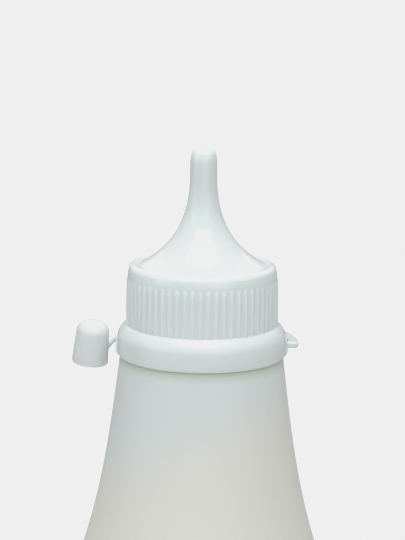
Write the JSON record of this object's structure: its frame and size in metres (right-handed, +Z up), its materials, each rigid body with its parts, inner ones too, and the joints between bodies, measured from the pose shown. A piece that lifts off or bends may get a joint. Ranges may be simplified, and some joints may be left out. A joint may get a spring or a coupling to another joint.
{
  "type": "mayonnaise squeeze bottle",
  "caption": "Full squeeze bottle of mayonnaise: flared milky round body and a ribbed screw closure with a long closed nozzle and a tip cap on a moulded strap.",
  "frame": {"origin": "middle of the base, on the bottle's axis, at the level of the surface it stands on", "axes": "+Z up the bottle's axis to the nozzle, -Y the shown front, -X the side where the tip cap hangs"},
  "size_m": [0.083, 0.083, 0.2359],
  "materials": {
    "bottle": "satin milky wall, slightly see-through, with the pale contents behind it",
    "closure": "smooth, softly glossy moulded white"
  },
  "bodies": {
    "root": {"bottle": "bottle", "closure": "closure"}
  },
  "joints": []
}
